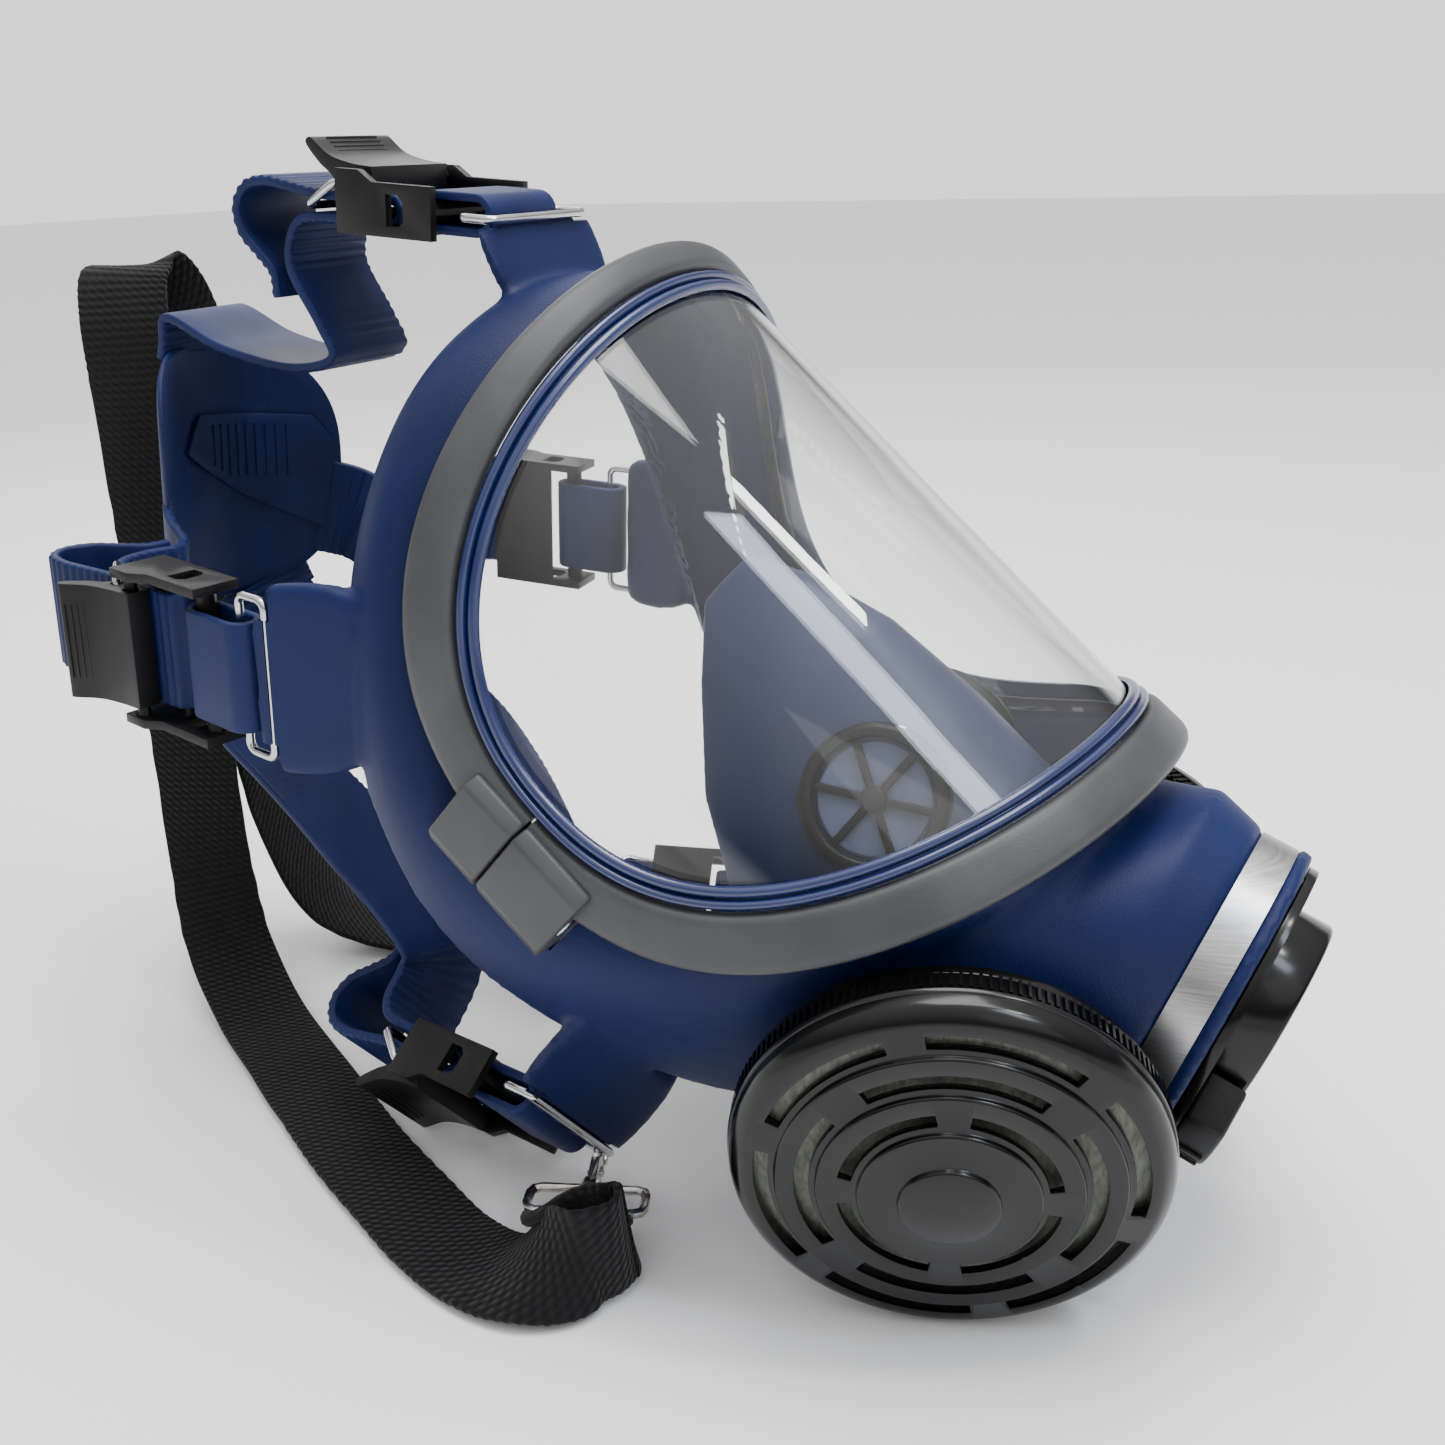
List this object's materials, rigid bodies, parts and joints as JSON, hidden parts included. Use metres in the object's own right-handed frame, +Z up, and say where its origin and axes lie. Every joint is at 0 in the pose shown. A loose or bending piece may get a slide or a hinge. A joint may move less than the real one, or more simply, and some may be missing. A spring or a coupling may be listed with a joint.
{
  "type": "full-face respirator",
  "caption": "Full-face respirator with a curved clear visor, twin side filters, front connector, five-point rubber head harness with lever buckles and a webbing neck strap.",
  "frame": {"origin": "on the table, under the middle of the mask's bounding box without the neck strap", "axes": "+Z up from the table; -Y the way the wearer faces, the visor looks forwards and up; +X the wearer's left"},
  "size_m": [0.2036, 0.3468, 0.245],
  "materials": {
    "blue_rubber": "matte navy blue moulded rubber",
    "gasket_rubber": "glossy dark blue",
    "clear_visor": "clear polycarbonate, polished",
    "grey_plastic": "satin mid grey",
    "gloss_black": "glossy black",
    "satin_black": "satin black",
    "felt": "grey-green filter felt",
    "steel": "bright steel",
    "nickel": "bright nickel plate",
    "flap_rubber": "thin grey-blue rubber",
    "webbing": "matte woven black webbing"
  },
  "bodies": {
    "mask": {"visor": "clear_visor", "visor_gasket": "gasket_rubber", "frame_upper": "grey_plastic", "frame_lower": "grey_plastic", "face_blank": "blue_rubber", "front_housing": "gloss_black", "housing_clamp_band": "steel", "exhalation_cover": "satin_black", "nose_cup": "blue_rubber", "head_plate": "blue_rubber", "neck_strap": "webbing", "wire_loop_forehead": "steel", "short_loop_forehead": "blue_rubber", "buckle_forehead": "satin_black", "strap_forehead": "blue_rubber", "wire_loop_temple_right": "steel", "short_loop_temple_right": "blue_rubber", "buckle_temple_right": "satin_black", "strap_temple_right": "blue_rubber", "wire_loop_temple_left": "steel", "short_loop_temple_left": "blue_rubber", "buckle_temple_left": "satin_black", "strap_temple_left": "blue_rubber", "wire_loop_cheek_right": "steel", "short_loop_cheek_right": "blue_rubber", "buckle_cheek_right": "satin_black", "strap_cheek_right": "blue_rubber", "wire_loop_cheek_left": "steel", "short_loop_cheek_left": "blue_rubber", "buckle_cheek_left": "satin_black", "strap_cheek_left": "blue_rubber", "filter_adapter_right": "satin_black", "nose_cup_valve_seat_right": "satin_black", "clasp_swivel_right": "nickel", "filter_adapter_left": "satin_black", "nose_cup_valve_seat_left": "satin_black", "clasp_swivel_left": "nickel"},
    "filter_right": {"filter_base_right": "gloss_black", "filter_media_right": "felt", "filter_cover_right": "gloss_black"},
    "filter_left": {"filter_base_left": "gloss_black", "filter_media_left": "felt", "filter_cover_left": "gloss_black"},
    "lever_forehead": {"lever_forehead": "satin_black", "ring_forehead": "steel"},
    "lever_temple_right": {"lever_temple_right": "satin_black", "ring_temple_right": "steel"},
    "lever_temple_left": {"lever_temple_left": "satin_black", "ring_temple_left": "steel"},
    "lever_cheek_right": {"lever_cheek_right": "satin_black", "ring_cheek_right": "steel"},
    "lever_cheek_left": {"lever_cheek_left": "satin_black", "ring_cheek_left": "steel"},
    "flap_right": {"inhalation_flap_right": "flap_rubber"},
    "clasp_right": {"clasp_body_right": "nickel"},
    "gate_right": {"clasp_gate_right": "nickel"},
    "flap_left": {"inhalation_flap_left": "flap_rubber"},
    "clasp_left": {"clasp_body_left": "nickel"},
    "gate_left": {"clasp_gate_left": "nickel"}
  },
  "joints": [
    {"name": "filter_twist_right", "type": "hinge", "parent": "mask", "child": "filter_right", "pos_m": [-0.0661, -0.09955, 0.04304], "axis": [-0.9064, -0.3701, -0.2035], "range_deg": [0, 40]},
    {"name": "filter_twist_left", "type": "hinge", "parent": "mask", "child": "filter_left", "pos_m": [0.0661, -0.09955, 0.04304], "axis": [0.9064, -0.3701, -0.2035], "range_deg": [0, 40]},
    {"name": "lever_open_forehead", "type": "hinge", "parent": "mask", "child": "lever_forehead", "pos_m": [0, 0.07153, 0.2352], "axis": [1, 0, 0], "range_deg": [0, 35], "deforming": ["strap_forehead"]},
    {"name": "lever_open_temple_right", "type": "hinge", "parent": "mask", "child": "lever_temple_right", "pos_m": [-0.07678, 0.09878, 0.13476], "axis": [-0.0007, -0.0698, 0.9976], "range_deg": [0, 35], "deforming": ["strap_temple_right"]},
    {"name": "lever_open_temple_left", "type": "hinge", "parent": "mask", "child": "lever_temple_left", "pos_m": [0.07678, 0.09878, 0.13476], "axis": [-0.0007, 0.0698, -0.9976], "range_deg": [0, 35], "deforming": ["strap_temple_left"]},
    {"name": "lever_open_cheek_right", "type": "hinge", "parent": "mask", "child": "lever_cheek_right", "pos_m": [-0.05435, 0.03871, 0.01758], "axis": [-0.6131, 0.1632, 0.773], "range_deg": [0, 15], "deforming": ["strap_cheek_right"]},
    {"name": "lever_open_cheek_left", "type": "hinge", "parent": "mask", "child": "lever_cheek_left", "pos_m": [0.05435, 0.03871, 0.01758], "axis": [-0.6131, -0.1632, -0.773], "range_deg": [0, 15], "deforming": ["strap_cheek_left"]},
    {"name": "flap_lift_right", "type": "slide", "parent": "mask", "child": "flap_right", "axis": [0.9007, 0.2395, -0.3625], "range_m": [0, 0.0015], "stiffness_N_per_m": 15},
    {"name": "clasp_turn_right", "type": "hinge", "parent": "mask", "child": "clasp_right", "pos_m": [-0.04502, -0.00047, 0.0075], "axis": [-0.9207, -0.3903, 0], "range_deg": [-4.5, 4.5]},
    {"name": "gate_open_right", "type": "hinge", "parent": "clasp_right", "child": "gate_right", "pos_m": [-0.05091, -0.00297, 0.0053], "axis": [0.3903, -0.9207, 0], "range_deg": [0, 7], "stiffness_Nm_per_rad": 0.01},
    {"name": "flap_lift_left", "type": "slide", "parent": "mask", "child": "flap_left", "axis": [-0.9007, 0.2395, -0.3625], "range_m": [0, 0.0015], "stiffness_N_per_m": 15},
    {"name": "clasp_turn_left", "type": "hinge", "parent": "mask", "child": "clasp_left", "pos_m": [0.04502, -0.00047, 0.0075], "axis": [0.9207, -0.3903, 0], "range_deg": [-4.5, 4.5]},
    {"name": "gate_open_left", "type": "hinge", "parent": "clasp_left", "child": "gate_left", "pos_m": [0.05091, -0.00297, 0.0053], "axis": [0.3903, 0.9207, 0], "range_deg": [0, 7], "stiffness_Nm_per_rad": 0.01}
  ]
}
